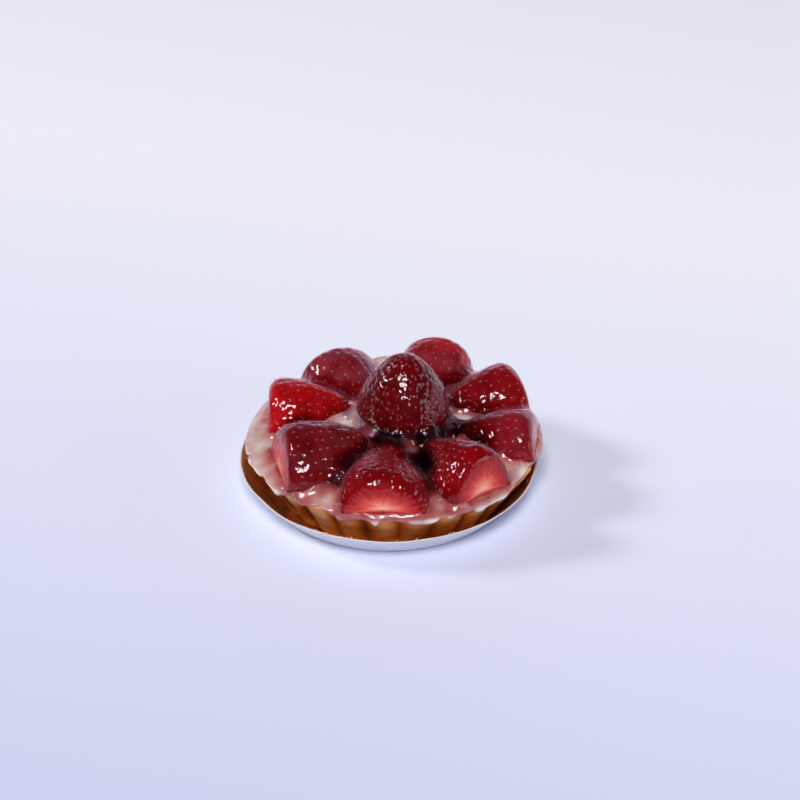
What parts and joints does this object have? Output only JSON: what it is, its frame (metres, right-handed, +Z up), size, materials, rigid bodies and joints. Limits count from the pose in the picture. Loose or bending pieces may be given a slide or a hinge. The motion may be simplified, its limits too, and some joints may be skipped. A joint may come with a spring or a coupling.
{
  "type": "strawberry tart",
  "caption": "Round fluted shortcrust tart filled with pastry cream, ringed by halved strawberries round a whole one, under clear glaze, in a shallow gold card dish.",
  "frame": {"origin": "middle of the dish's foot, on the surface it stands on", "axes": "+Z up, -Y towards the front half strawberry, +X to the right seen from the front"},
  "size_m": [0.1142, 0.1121, 0.0539],
  "materials": {
    "gold_card": "gold foil inside and white coated card outside",
    "shortcrust": "baked golden brown, darker in the flutes",
    "pastry_cream": "smooth pale cream tinted pink by the berries, glazed",
    "strawberry": "ripe red skin with sunken golden seeds and pink cut flesh, wet glaze"
  },
  "bodies": {
    "root": {"dish": "gold_card", "crust": "shortcrust", "cream": "pastry_cream", "half_front": "strawberry", "half_front_right": "strawberry", "half_right": "strawberry", "half_right_back": "strawberry", "half_back": "strawberry", "half_back_left": "strawberry", "half_left": "strawberry", "half_front_left": "strawberry", "whole_strawberry": "strawberry"}
  },
  "joints": []
}
